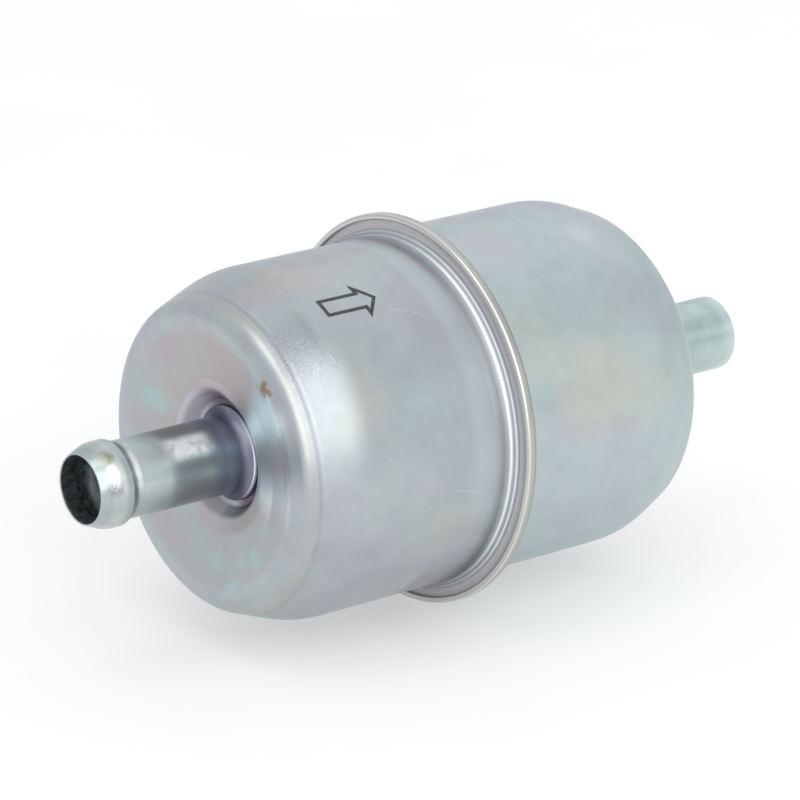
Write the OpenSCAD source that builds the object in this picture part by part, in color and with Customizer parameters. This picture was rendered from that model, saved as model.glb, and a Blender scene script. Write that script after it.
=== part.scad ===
// Inline steel fuel filter. The filter's axis is X, fuel flows towards +X, +Z is up.
// The origin is on the axis, half-way between the two tube mouths. Millimetres, real size.

/* [Overall] */
// Length from tube mouth to tube mouth
overall_l = 104.5; // [100:0.5:115]
// Seam plane, measured from half-way between the mouths
seam_x = -1.1; // [-2:0.1:0]
// Thickness of the sheet that both cups are drawn from
sheet_t = 0.5; // [0.4:0.05:0.6]

/* [Inlet cup] */
// Depth from the seam plane to the crown of the end face
inlet_cup_l = 32.3; // [31.5:0.1:33.5]
// Outer radius of the wall
inlet_wall_r = 22.9; // [22.5:0.05:23.1]
// Radius of the circle that the crown runs on
inlet_crown_r = 17.85; // [17:0.05:18.2]
// Bend radius at the crown
inlet_crown_bend = 2.75; // [2:0.05:3.5]
// Slope of the shoulder below the crown, in degrees
inlet_shoulder_slope = 20; // [17:1:24]
// Bend radius between the shoulder and the wall
inlet_shoulder_bend = 13; // [8:0.5:15]

/* [Outlet cup] */
// Depth from the seam plane to the crown of the end face
outlet_cup_l = 33; // [32:0.1:34]
// Outer radius of the wall
outlet_wall_r = 23.2; // [23:0.05:23.4]
// Radius of the circle that the crown runs on
outlet_crown_r = 17.9; // [17:0.05:18.2]
// Bend radius at the crown
outlet_crown_bend = 3.5; // [2.5:0.05:4]
// Slope of the shoulder below the crown, in degrees
outlet_shoulder_slope = 22; // [18:1:25]
// Bend radius between the shoulder and the wall
outlet_shoulder_bend = 11; // [8:0.5:13]

/* [End faces] */
// Slope at which each end face dips towards its tube, in degrees
dish_slope = 13.6; // [8:0.2:16]
// Radius of the dimple's upper edge
dimple_r = 8.7; // [8.4:0.1:9.2]
// Depth of the dimple's floor below the crown
dimple_depth = 4.15; // [3.9:0.05:4.5]

/* [Seam] */
// Outer radius of the rolled seam
seam_r = 25.8; // [25.6:0.1:26.5]
// Concave radius between the inlet cup's wall and its flange
inlet_flare_r = 1.95; // [1.5:0.05:1.95]
// Concave radius between the outlet cup's wall and its flange
outlet_flare_r = 0.8; // [0.6:0.05:1]
// Thickness of the sealant film between the flanges
sealant_t = 0.08; // [0.05:0.01:0.15]

/* [Tubes] */
// Outer radius of both tubes
tube_r = 5; // [4.6:0.05:5.2]
// Radius of the fuel way through both tubes
bore_r = 4.25; // [3.8:0.05:4.4]
// Radius of the hose bead on the inlet tube
bead_r = 5.55; // [5.4:0.05:5.8]
// Length of the bead's cylindrical land
bead_land = 1.2; // [1:0.1:2]
// Radius of the flared foot that stands on the cup
foot_r = 6.2; // [6:0.05:6.5]

/* [Element] */
// Number of pleats in the paper
pleat_count = 38; // [30:1:40]
// Outer radius over the pleats
pleat_outer_r = 18.4; // [17:0.1:18.6]
// Inner radius of the pleats
pleat_inner_r = 6.8; // [6.7:0.1:7.5]
// Thickness of the paper
paper_t = 0.4; // [0.25:0.05:0.4]
// Outer radius of the perforated core
core_r = 6.5; // [6.4:0.05:6.6]
// Radius of one hole in the core
core_hole_r = 0.9; // [0.6:0.05:1.1]
// Outer radius of both end caps
cap_r = 19.6; // [19.4:0.1:20.5]

/* [Spring] */
// Wire radius
wire_r = 0.6; // [0.5:0.05:0.6]
// Radius of the coil, at the middle of the wire
coil_r = 10.4; // [10.3:0.1:11]
// Turns with a gap between them
active_turns = 3; // [2:1:3]

/* [Mark] */
// Angle of the flow arrow from the top, towards -Y
arrow_angle = 27.2; // [0:0.1:90]
// Length of the flow arrow
arrow_l = 8.4; // [7:0.1:9]

/* [Hidden] */
$fn = 120;

// Colours
zinc = [0.72, 0.74, 0.77];
tube_zinc = [0.63, 0.67, 0.70];
tinplate = [0.78, 0.78, 0.76];
copper = [0.72, 0.45, 0.25];
ink = [0.12, 0.12, 0.13];

// Shape of the dimples
dimple_edge_bend_r = 0.9;
dimple_floor_bend_r = 0.6;
dimple_wall_slope = 58;
floor_hole_gap = 0.02;
bend_steps = 10;

// Planes along the axis
mouth_x = overall_l / 2;
inlet_face_x = seam_x - inlet_cup_l;
outlet_face_x = seam_x + outlet_cup_l;
inlet_floor_x = inlet_face_x + dimple_depth;
outlet_floor_x = outlet_face_x - dimple_depth;
inlet_flange_x = seam_x - sheet_t / 2;
outlet_flange_x = seam_x + sheet_t / 2 + sealant_t;

// Rolled seam
hem_bend_r = 0.55;
lip_r = inlet_wall_r + inlet_flare_r + 0.1;
hem_gap = 0.02;
flange_edge_r = seam_r - sheet_t - hem_gap;

// Tube ends and roots
mouth_tip_r = 0.12;
mouth_r = 4.48;
nose_slope = 23;
nose_bend_r = 3.4;
bead_back_slope = 32;
bead_back_bend_r = 0.45;
bead_root_bend_r = 0.9;
mouth_chamfer = 0.25;
flare_bend_r = 2.2;
flare_sweep = 60;
foot_lip_r = 0.22;
foot_lip_drop = 0.3;
swage_r = 5.9;
swage_t = 0.55;
swage_chamfer = 0.15;
swage_mouth_r = 4.9;
swage_flare_l = 1.3;
tube_wall = tube_r - bore_r;
braze_r = 6.7;

// Element along the axis
inlet_cap_x = inlet_face_x + 12.1;
outlet_cap_x = outlet_face_x - 6.8;
cap_t = 0.4;
cap_rim_l = 3.4;
potting_t = 2.2;
potting_gap = 0.02;
cap_hole_r = 6;
bead_ring_r = 8.75;
bead_ring_w = 0.9;
bead_ring_h = 1;
collar_r = 9.8;
collar_h = 1.4;
gasket_outer_r = 9.6;
gasket_inner_r = 6.7;
gasket_gap = 0.03;
media_x0 = inlet_cap_x + cap_t + potting_t;
media_x1 = outlet_cap_x - cap_t - potting_t;

// Pleats and their seam clip
tip_half_w = 0.55;
root_half_w = 0.28;
clip_t = 0.25;
clip_gap = 0.05;
clip_depth = 4;
clip_end_gap = 0.6;

// Core holes
core_t = 0.4;
hole_rows = 9;
holes_round = 5;
row_pitch = 4.3;

// Spring, as rings of points swept along a helix
spring_x0 = inlet_face_x + 3.05;
spring_x1 = inlet_cap_x - wire_r - 0.05;
closed_pitch = 2 * wire_r + 0.05;
spring_turns = active_turns + 2;
active_pitch = (spring_x1 - spring_x0 - 2 * closed_pitch) / active_turns;
turn_steps = 24;
wire_sides = 8;

// Flow arrow
arrow_x0 = seam_x - 21.65;
arrow_shaft_w = 2.95;
arrow_head_w = 6;
arrow_head_l = 2.5;
arrow_stroke = 0.46;
ink_t = 0.04;

// Points [r, u] of a bend. The normal turns from angle a0 to a1, where 0 faces the end and 90 faces outwards.
function bend(r, u, radius, a0, a1) = [
    for (i = [0:bend_steps])
        let (a = a0 + (a1 - a0) * i / bend_steps)
        [r + radius * sin(a), u - radius * cos(a)]
];

// One surface of a drawn end, from the tube's hole out to the wall. skin is 0 outside and sheet_t inside.
// u is the depth below the crown.
function end_side(wall_r, crown_r, crown_bend, slope, shoulder_bend, skin) =
    let (
        k = 90 - slope,
        d = dish_slope,
        w = dimple_wall_slope,
        // Where the crown's bend meets the dished face and the shoulder
        dish_r = crown_r - crown_bend * sin(d),
        dish_u = crown_bend * (1 - cos(d)),
        cone_r = crown_r + crown_bend * sin(k),
        cone_u = crown_bend * (1 - cos(k)),
        // Bend at the dimple's upper edge, tangent to the dished face
        edge_r = dimple_r,
        edge_u = dish_u + tan(d) * (dish_r - edge_r + dimple_edge_bend_r * sin(d))
            + dimple_edge_bend_r * cos(d),
        // Bend at the dimple's floor, tangent to the dimple's wall
        wall_top_r = edge_r - dimple_edge_bend_r * sin(w),
        wall_top_u = edge_u - dimple_edge_bend_r * cos(w),
        floor_top_u = dimple_depth - dimple_floor_bend_r * (1 - cos(w)),
        floor_r = wall_top_r - dimple_floor_bend_r * sin(w) - (floor_top_u - wall_top_u) / tan(w),
        // Bend between the shoulder and the wall
        wall_bend_r = wall_r - shoulder_bend,
        wall_bend_u = cone_u + shoulder_bend * cos(k)
            + tan(k) * (wall_bend_r + shoulder_bend * sin(k) - cone_r)
    )
    concat(
        [[tube_r + floor_hole_gap, dimple_depth + skin]],
        bend(floor_r, dimple_depth - dimple_floor_bend_r, -(dimple_floor_bend_r + skin), 0, -w),
        bend(edge_r, edge_u, dimple_edge_bend_r - skin, -w, -d),
        bend(crown_r, crown_bend, crown_bend - skin, -d, k),
        bend(wall_bend_r, wall_bend_u, shoulder_bend - skin, k, 90)
    );

// Concave bend from a cup's wall out to its flange, whose face is at depth u.
function flare_side(wall_r, u, radius, skin) =
    bend(wall_r + radius, u - radius, -(radius + skin), 90, 0);

function inlet_end(skin) = end_side(
    inlet_wall_r, inlet_crown_r, inlet_crown_bend, inlet_shoulder_slope, inlet_shoulder_bend, skin
);

function outlet_end(skin) = end_side(
    outlet_wall_r, outlet_crown_r, outlet_crown_bend, outlet_shoulder_slope, outlet_shoulder_bend, skin
);

function backwards(points) = [for (i = [len(points) - 1:-1:0]) points[i]];

function inlet_outline() =
    let (u = inlet_flange_x - inlet_face_x)
    concat(
        inlet_end(0),
        flare_side(inlet_wall_r, u, inlet_flare_r, 0),
        [[flange_edge_r, u], [flange_edge_r, u + sheet_t]],
        backwards(flare_side(inlet_wall_r, u, inlet_flare_r, sheet_t)),
        backwards(inlet_end(sheet_t))
    );

function outlet_outline() =
    let (
        u = outlet_face_x - outlet_flange_x - sheet_t,
        front = outlet_face_x - inlet_flange_x + sheet_t,
        lip_bend_r = sheet_t / 2
    )
    concat(
        outlet_end(0),
        flare_side(outlet_wall_r, u, outlet_flare_r, 0),
        bend(seam_r - hem_bend_r, u + hem_bend_r, hem_bend_r, 0, 90),
        bend(seam_r - hem_bend_r, front - hem_bend_r, hem_bend_r, 90, 180),
        bend(lip_r + lip_bend_r, front - lip_bend_r, lip_bend_r, 180, 360),
        [[seam_r - sheet_t, front - sheet_t], [seam_r - sheet_t, u + sheet_t]],
        backwards(flare_side(outlet_wall_r, u, outlet_flare_r, sheet_t)),
        backwards(outlet_end(sheet_t))
    );

// Turns an [r, x] outline about the X axis.
module turned(points) {
    rotate([0, 90, 0])
        rotate_extrude()
            polygon(points);
}

function inlet_side(points) = [for (p = points) [p[0], inlet_face_x + p[1]]];
function outlet_side(points) = [for (p = points) [p[0], outlet_face_x - p[1]]];

module inlet_shell() {
    color(zinc)
        turned(inlet_side(inlet_outline()));
}

module outlet_shell() {
    color(zinc)
        turned(outlet_side(outlet_outline()));
}

// Flared foot on the cup's floor and the lip swaged over inside it. t is measured from the tube's mouth.
function tube_root(floor_t) =
    let (
        lip_t = floor_t - foot_lip_drop,
        end_a = 90 - flare_sweep,
        flare_end_r = foot_r - foot_lip_r * (1 - sin(end_a)),
        flare_end_t = lip_t - foot_lip_r * cos(end_a),
        flare_r = flare_end_r + flare_bend_r * sin(end_a),
        flare_t = flare_end_t - flare_bend_r * cos(end_a),
        inner_t = floor_t + sheet_t
    )
    concat(
        [[tube_r, flare_t]],
        bend(tube_r + flare_bend_r, flare_t, -flare_bend_r, 90, end_a),
        bend(foot_r - foot_lip_r, lip_t, foot_lip_r, end_a, 90),
        [
            [foot_r, floor_t], [tube_r, floor_t], [tube_r, inner_t], [swage_r, inner_t],
            [swage_r, inner_t + swage_t - swage_chamfer], [swage_r - swage_chamfer, inner_t + swage_t],
            [swage_mouth_r, inner_t + swage_t], [bore_r, inner_t + swage_t - swage_flare_l]
        ]
    );

function inlet_tube_outline() =
    let (
        k = 90 - nose_slope,
        b = 90 + bead_back_slope,
        tip_r = mouth_r + mouth_tip_r * sin(k),
        tip_t = mouth_tip_r * (1 - cos(k)),
        nose_r = bead_r - nose_bend_r * (1 - sin(k)),
        land_t = tip_t + (nose_r - tip_r) / tan(nose_slope) + nose_bend_r * cos(k),
        back_t = land_t + bead_land,
        back_r = bead_r - bead_back_bend_r * (1 - sin(b)),
        root_r = tube_r + bead_root_bend_r * (1 - sin(b)),
        root_t = back_t - (bead_back_bend_r + bead_root_bend_r) * cos(b)
            + (back_r - root_r) / tan(bead_back_slope),
        groove_r = bead_r - tube_wall
    )
    concat(
        bend(mouth_r, mouth_tip_r, mouth_tip_r, -90, k),
        bend(bead_r - nose_bend_r, land_t, nose_bend_r, k, 90),
        bend(bead_r - bead_back_bend_r, back_t, bead_back_bend_r, 90, b),
        bend(tube_r + bead_root_bend_r, root_t, -bead_root_bend_r, b, 90),
        tube_root(inlet_floor_x + mouth_x),
        [[bore_r, root_t], [groove_r, back_t], [groove_r, land_t]]
    );

function outlet_tube_outline() = concat(
    [
        [bore_r + mouth_chamfer, 0], [tube_r - mouth_chamfer, 0], [tube_r, mouth_chamfer]
    ],
    tube_root(mouth_x - outlet_floor_x),
    [[bore_r, mouth_chamfer]]
);

module inlet_tube() {
    color(tube_zinc)
        turned([for (p = inlet_tube_outline()) [p[0], p[1] - mouth_x]]);
}

module outlet_tube() {
    color(tube_zinc)
        turned([for (p = outlet_tube_outline()) [p[0], mouth_x - p[1]]]);
}

// Fillet of filler metal between the swaged lip and the cup's floor at x, inside the can. dir points inwards.
module braze_ring(x, dir) {
    edge_r = swage_r + floor_hole_gap;
    color(copper)
        turned([
            [edge_r, x], [braze_r, x], [edge_r, x + dir * (swage_t - swage_chamfer)]
        ]);
}

module inlet_braze_ring() {
    braze_ring(inlet_floor_x + sheet_t, 1);
}

module outlet_braze_ring() {
    braze_ring(outlet_floor_x - sheet_t, -1);
}

// Film between the two flanges, with the bead squeezed into the groove inside them.
module seam_sealant() {
    bead_bottom_r = inlet_wall_r + 0.6;
    color([0.35, 0.36, 0.38])
        rotate([0, 90, 0])
            rotate_extrude()
                difference() {
                    translate([bead_bottom_r, inlet_flange_x + sealant_t])
                        square([flange_edge_r - bead_bottom_r, 2 * sheet_t - 2 * sealant_t]);
                    polygon(inlet_side(inlet_outline()));
                    polygon(outlet_side(outlet_outline()));
                }
}

// Outline of the arrow, pointing along +X, with its tail at 0. inset narrows it evenly.
module arrow_outline(inset) {
    half_shaft = arrow_shaft_w / 2 - inset;
    half_head = arrow_head_w / 2;
    neck_x = arrow_l - arrow_head_l;
    edge_slope = atan(half_head / arrow_head_l);
    tip_x = arrow_l - inset / sin(edge_slope);
    back_x = neck_x + inset;
    head_y = (tip_x - back_x) * tan(edge_slope);
    polygon([
        [inset, -half_shaft], [back_x, -half_shaft], [back_x, -head_y], [tip_x, 0],
        [back_x, head_y], [back_x, half_shaft], [inset, half_shaft]
    ]);
}

module flow_arrow() {
    color(ink)
        rotate([arrow_angle, 0, 0])
            intersection() {
                translate([arrow_x0, 0, inlet_wall_r / 2])
                    linear_extrude(inlet_wall_r)
                        difference() {
                            arrow_outline(0);
                            arrow_outline(arrow_stroke);
                        }
                translate([arrow_x0 - 1, 0, 0])
                    rotate([0, 90, 0])
                        difference() {
                            cylinder(r = inlet_wall_r + ink_t, h = arrow_l + 2);
                            translate([0, 0, -1])
                                cylinder(r = inlet_wall_r, h = arrow_l + 4);
                        }
            }
}

// Middle of the wire after a number of turns.
function wire_x(turn) = spring_x0
    + closed_pitch * min(turn, 1)
    + active_pitch * max(0, min(turn - 1, active_turns))
    + closed_pitch * max(0, turn - 1 - active_turns);

function wire_ring(turn) = [
    for (i = [0:wire_sides - 1])
        let (a = 360 * i / wire_sides, r = coil_r + wire_r * cos(a))
        [wire_x(turn) + wire_r * sin(a), r * cos(360 * turn), r * sin(360 * turn)]
];

module element_spring() {
    rings = spring_turns * turn_steps;
    points = [for (k = [0:rings]) each wire_ring(k / turn_steps)];
    sides = [
        for (k = [0:rings - 1], i = [0:wire_sides - 1])
            let (a = k * wire_sides + i, b = k * wire_sides + (i + 1) % wire_sides)
            [a, b, b + wire_sides, a + wire_sides]
    ];
    first_end = [for (i = [wire_sides - 1:-1:0]) i];
    last_end = [for (i = [0:wire_sides - 1]) rings * wire_sides + i];
    color([0.5, 0.51, 0.53])
        polyhedron(points, concat([first_end], sides, [last_end]));
}

// Closed cap. Its pressed ring keeps the spring in the middle.
module inlet_end_cap() {
    x0 = inlet_cap_x;
    x1 = inlet_cap_x + cap_t;
    in_r = bead_ring_r - bead_ring_w;
    out_r = bead_ring_r + bead_ring_w;
    color(tinplate)
        turned([
            [0, x0], [in_r - cap_t, x0], [in_r, x0 - bead_ring_h], [out_r - cap_t, x0 - bead_ring_h],
            [out_r, x0], [cap_r - cap_t, x0], [cap_r, x1], [cap_r, x1 + cap_rim_l - cap_t],
            [cap_r - cap_t, x1 + cap_rim_l - cap_t], [cap_r - cap_t, x1],
            [out_r - cap_t, x1], [out_r - 2 * cap_t, x1 - bead_ring_h],
            [in_r + cap_t, x1 - bead_ring_h], [in_r, x1], [0, x1]
        ]);
}

// Cap with the clean fuel's outlet. Its collar keeps the gasket in the middle.
module outlet_end_cap() {
    x0 = outlet_cap_x - cap_t;
    x1 = outlet_cap_x;
    color(tinplate)
        turned([
            [cap_hole_r, x0], [cap_r - cap_t, x0],
            [cap_r - cap_t, x0 - cap_rim_l + cap_t], [cap_r, x0 - cap_rim_l + cap_t],
            [cap_r, x0], [cap_r - cap_t, x1], [collar_r + cap_t, x1],
            [collar_r + cap_t, x1 + collar_h], [collar_r, x1 + collar_h], [collar_r, x1],
            [cap_hole_r, x1]
        ]);
}

// Ring of potting compound that fixes the pleats' ends in a cap.
module potting(x) {
    inner_r = core_r + potting_gap;
    outer_r = cap_r - cap_t - potting_gap;
    color([0.55, 0.22, 0.14])
        turned([
            [inner_r, x], [outer_r, x], [outer_r, x + potting_t], [inner_r, x + potting_t]
        ]);
}

module inlet_potting() {
    potting(inlet_cap_x + cap_t);
}

module outlet_potting() {
    potting(outlet_cap_x - cap_t - potting_t);
}

// One face of the pleated paper, as a wave of flat-topped folds round the core.
function pleat_face(outer_r, inner_r, tip_w, root_w) = [
    for (i = [0:pleat_count - 1])
        let (
            a = 360 * i / pleat_count,
            b = a + 180 / pleat_count,
            tip_a = asin(tip_w / outer_r),
            root_a = asin(root_w / inner_r)
        )
        for (p = [
            [outer_r, a - tip_a], [outer_r, a + tip_a],
            [inner_r, b - root_a], [inner_r, b + root_a]
        ])
            [p[0] * cos(p[1]), p[0] * sin(p[1])]
];

// Stands a flat outline up on the YZ plane. Its X turns to -Z.
module along_axis(x0, length) {
    translate([x0, 0, 0])
        rotate([0, 90, 0])
            linear_extrude(length)
                children();
}

module filter_media() {
    half_t = paper_t / 2;
    color([0.93, 0.86, 0.62])
        along_axis(media_x0, media_x1 - media_x0)
            difference() {
                polygon(pleat_face(
                    pleat_outer_r, pleat_inner_r + paper_t, tip_half_w + half_t, root_half_w - half_t
                ));
                polygon(pleat_face(
                    pleat_outer_r - paper_t, pleat_inner_r, tip_half_w - half_t, root_half_w + half_t
                ));
            }
}

// Folded strip that clamps the two ends of the paper together along one pleat.
module media_seam_clip() {
    inside_w = 2 * (tip_half_w + paper_t / 2 + clip_gap);
    outside_w = inside_w + 2 * clip_t;
    top_r = pleat_outer_r + clip_gap;
    color(tinplate)
        along_axis(media_x0 + clip_end_gap, media_x1 - media_x0 - 2 * clip_end_gap)
            difference() {
                translate([top_r - clip_depth, -outside_w / 2])
                    square([clip_depth + clip_t, outside_w]);
                translate([top_r - clip_depth - 1, -inside_w / 2])
                    square([clip_depth + 1, inside_w]);
            }
}

module core_tube() {
    x0 = inlet_cap_x + cap_t;
    x1 = outlet_cap_x - cap_t;
    first_row_x = (x0 + x1) / 2 - (hole_rows - 1) * row_pitch / 2;
    color(tinplate)
        difference() {
            translate([x0, 0, 0])
                rotate([0, 90, 0])
                    difference() {
                        cylinder(r = core_r, h = x1 - x0);
                        translate([0, 0, -1])
                            cylinder(r = core_r - core_t, h = x1 - x0 + 2);
                    }
            for (row = [0:hole_rows - 1], i = [0:holes_round - 1])
                translate([first_row_x + row * row_pitch, 0, 0])
                    rotate([(i + 0.5 * (row % 2)) * 360 / holes_round, 0, 0])
                        cylinder(r = core_hole_r, h = core_r + 1, $fn = 24);
        }
}

// Rubber ring between the outlet cap and the outlet cup's dimple.
module outlet_gasket() {
    x1 = outlet_floor_x - sheet_t - gasket_gap;
    color([0.1, 0.1, 0.11])
        turned([
            [gasket_inner_r, outlet_cap_x], [gasket_outer_r, outlet_cap_x],
            [gasket_outer_r, x1], [gasket_inner_r, x1]
        ]);
}

inlet_shell();
outlet_shell();
inlet_tube();
outlet_tube();
inlet_braze_ring();
outlet_braze_ring();
seam_sealant();
flow_arrow();
element_spring();
inlet_end_cap();
outlet_end_cap();
inlet_potting();
outlet_potting();
filter_media();
media_seam_clip();
core_tube();
outlet_gasket();
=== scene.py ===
import math
import random
from functools import reduce

import bmesh
import bpy
from mathutils import Matrix, Quaternion, Vector, noise


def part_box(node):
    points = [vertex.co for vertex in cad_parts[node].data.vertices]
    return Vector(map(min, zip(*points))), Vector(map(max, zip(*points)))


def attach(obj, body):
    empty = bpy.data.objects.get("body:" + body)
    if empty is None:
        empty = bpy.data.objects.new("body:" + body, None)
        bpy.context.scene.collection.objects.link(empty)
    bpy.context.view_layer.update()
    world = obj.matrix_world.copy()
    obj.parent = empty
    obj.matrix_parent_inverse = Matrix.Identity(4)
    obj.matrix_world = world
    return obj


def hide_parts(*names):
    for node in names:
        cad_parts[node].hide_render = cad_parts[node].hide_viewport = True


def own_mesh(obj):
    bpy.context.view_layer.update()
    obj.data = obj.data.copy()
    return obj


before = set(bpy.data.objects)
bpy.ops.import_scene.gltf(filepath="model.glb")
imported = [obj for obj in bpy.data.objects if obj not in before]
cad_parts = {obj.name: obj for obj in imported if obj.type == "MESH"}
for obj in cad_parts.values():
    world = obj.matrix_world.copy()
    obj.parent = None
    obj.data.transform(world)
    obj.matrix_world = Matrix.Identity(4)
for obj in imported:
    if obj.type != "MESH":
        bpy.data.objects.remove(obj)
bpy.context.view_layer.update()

# Sizes are in millimetres, as in the design, and meshes are made in metres.
MM = 0.001


def low(node):
    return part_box(node)[0] / MM


def high(node):
    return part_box(node)[1] / MM


def ends(node):
    return low(node).x, high(node).x


# -------- sizes
# Planes along the axis, from the frame
INLET_FACE_X = low("inlet_shell").x
OUTLET_FACE_X = high("outlet_shell").x
INLET_MOUTH_X = low("inlet_tube").x
OUTLET_MOUTH_X = high("outlet_tube").x
HEM_FRONT_X = low("outlet_shell").x
SEAM_R = high("outlet_shell").y

# Sheet and cups
SHEET_T = 0.5
INLET_CUP = dict(wall_r=22.9, crown_r=17.85, crown_bend=2.75, slope=20, shoulder_bend=13)
OUTLET_CUP = dict(wall_r=23.2, crown_r=17.9, crown_bend=3.5, slope=22, shoulder_bend=11)
DISH_SLOPE = 13.6
DIMPLE_R = 8.7
DIMPLE_DEPTH = 4.15
EDGE_BEND = 0.9
FLOOR_BEND = 0.6
DIMPLE_SLOPE = 58
INLET_FLOOR_X = INLET_FACE_X + DIMPLE_DEPTH
OUTLET_FLOOR_X = OUTLET_FACE_X - DIMPLE_DEPTH

# Rolled seam
INLET_FLARE = 1.95
OUTLET_FLARE = 0.8
SEALANT_T = 0.08
HEM_BEND = 0.55
HEM_GAP = 0.02
FLANGE_X = HEM_FRONT_X + SHEET_T
OUTLET_FLANGE_X = FLANGE_X + SHEET_T + SEALANT_T
FLANGE_EDGE_R = SEAM_R - SHEET_T - HEM_GAP
LIP_R = INLET_CUP["wall_r"] + INLET_FLARE + 0.1

# Tubes
TUBE_R = 5
BORE_R = 4.25
TUBE_WALL = TUBE_R - BORE_R
BEAD_R = 5.55
BEAD_LAND = 1.2
FOOT_R = 6.2
MOUTH_R = 4.48
MOUTH_TIP_R = 0.12
NOSE_SLOPE = 23
NOSE_BEND = 3.4
BEAD_BACK_SLOPE = 32
BEAD_BACK_BEND = 0.45
BEAD_ROOT_BEND = 0.9
FLARE_BEND = 2.2
FLARE_SWEEP = 60
FOOT_LIP_R = 0.22
FOOT_LIP_DROP = 0.3
SWAGE_R = 5.9
SWAGE_T = 0.55
SWAGE_MOUTH_R = 4.9
SWAGE_FLARE_L = 1.3
BRAZE_R = 6.7
BRAZE_H = 0.4
BRAZE_RUN = 0.12

# A ring inside the can that the cups' inner faces look towards, and how far out those faces reach
HEART_R = 12
INNER_SKIN_R = FLANGE_EDGE_R - 1.5

# Waves in the cup walls, which stay calm near the middle of the seam
WAVE_DEPTH = 0.035
WAVE_L = 14
WAVE_TURNS = 1.7
WAVE_FADE = 6
SEAM_X = -1.1
SEAM_CALM = 4

# Element
CAP_T = 0.4
CAP_R = 19.6
CAP_RIM_L = 3.4
CAP_BEND = 0.16
CAP_HOLE_R = 6
BEAD_RING_R = 8.75
BEAD_RING_W = 0.9
BEAD_RING_H = 1
COLLAR_R = 9.8
COLLAR_H = 1.4
CORE_R = 6.5
CORE_T = 0.4
CORE_HOLE_R = 0.9
HOLE_ROWS = 9
HOLES_ROUND = 5
ROW_PITCH = 4.3
PLEATS = 38
PAPER_T = 0.4
PAPER_DRIFT = 0.1
PLEAT_TIP_R = 18.4 - PAPER_T / 2
PLEAT_ROOT_R = 6.8 + PAPER_T / 2
TIP_FOLD_R = 0.55
ROOT_FOLD_R = 0.28
INLET_CAP_X = INLET_FACE_X + 12.1
OUTLET_CAP_X = OUTLET_FACE_X - 6.8
POTTING_T = 2.2
POTTING_SINK = 0.12
CLIP_T = 0.25
CLIP_PINCH = 0.05
CLIP_PINCH_H = 2.5
GASKET_HOLE_R = 6.7

# Spring
WIRE_R = 0.6
COIL_R = 10.4
ACTIVE_TURNS = 3
CLOSED_GAP = 0.05
TURN_STEPS = 56

# Flow arrow
ARROW_ANGLE = 27.2
ARROW_L = 8.4
ARROW_SHAFT_W = 2.95
ARROW_HEAD_W = 6
ARROW_HEAD_L = 2.5
ARROW_STROKE = 0.46
PRINT_SINK = 0.03
PRINT_H = 0.022
PRINT_STEP = 0.12
PRINT_SHAKE = 0.015
ARROW_TAIL_X = low("flow_arrow").x

# Steps
AROUND = 240
ARC_STEP = 5
LONG_STEP = 0.7
TINY = 1e-6

# Studio. The camera looks at a point near the object's middle, with a roll about its own line of sight.
LENS = 200.41
VIEW_CENTRE = (-1.065, 1.2023, 0.8242)
VIEW_AZIMUTH = -38.5132
VIEW_ELEVATION = 18.7495
VIEW_ROLL = 0.3982
VIEW_DISTANCE = 579.055
FLOOR_HALF = 6000
FLOOR_GAP = 0.02
FLOOR_GLOW = 0.39
WORLD_LIGHT = 0.85


# -------- outlines, as (radius, along) points
def sin_d(a):
    return math.sin(math.radians(a))


def cos_d(a):
    return math.cos(math.radians(a))


def tan_d(a):
    return math.tan(math.radians(a))


def bend(r, u, radius, a0, a1):
    """Points of a bend. Its normal turns from angle a0 to a1, where 0 faces the end and 90 outwards."""
    steps = max(4, math.ceil(abs(a1 - a0) / ARC_STEP))
    angles = [a0 + (a1 - a0) * i / steps for i in range(steps + 1)]
    return [(r + radius * sin_d(a), u - radius * cos_d(a)) for a in angles]


def end_side(wall_r, crown_r, crown_bend, slope, shoulder_bend, skin):
    """One surface of a drawn end, from the tube's hole to the wall. skin is 0 outside and SHEET_T inside."""
    k = 90 - slope
    d = DISH_SLOPE
    w = DIMPLE_SLOPE
    dish_r = crown_r - crown_bend * sin_d(d)
    dish_u = crown_bend * (1 - cos_d(d))
    cone_r = crown_r + crown_bend * sin_d(k)
    cone_u = crown_bend * (1 - cos_d(k))
    dish_run = dish_r - DIMPLE_R + EDGE_BEND * sin_d(d)
    edge_u = dish_u + dish_run * tan_d(d) + EDGE_BEND * cos_d(d)
    wall_top_r = DIMPLE_R - EDGE_BEND * sin_d(w)
    wall_top_u = edge_u - EDGE_BEND * cos_d(w)
    floor_top_u = DIMPLE_DEPTH - FLOOR_BEND * (1 - cos_d(w))
    floor_r = wall_top_r - FLOOR_BEND * sin_d(w) - (floor_top_u - wall_top_u) / tan_d(w)
    bend_r = wall_r - shoulder_bend
    bend_u = cone_u + shoulder_bend * cos_d(k) + tan_d(k) * (bend_r + shoulder_bend * sin_d(k) - cone_r)
    return (
        [(TUBE_R + HEM_GAP, DIMPLE_DEPTH + skin)]
        + bend(floor_r, DIMPLE_DEPTH - FLOOR_BEND, -(FLOOR_BEND + skin), 0, -w)
        + bend(DIMPLE_R, edge_u, EDGE_BEND - skin, -w, -d)
        + bend(crown_r, crown_bend, crown_bend - skin, -d, k)
        + bend(bend_r, bend_u, shoulder_bend - skin, k, 90)
    )


def flare_side(wall_r, u, radius, skin):
    return bend(wall_r + radius, u - radius, -(radius + skin), 90, 0)


def cup_outline(cup, u, flare, rim):
    """The outside of a cup as far as its flare, then the rim's own points, and back along the inside."""
    return (
        end_side(skin=0, **cup)
        + flare_side(cup["wall_r"], u, flare, 0)
        + rim
        + flare_side(cup["wall_r"], u, flare, SHEET_T)[::-1]
        + end_side(skin=SHEET_T, **cup)[::-1]
    )


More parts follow.
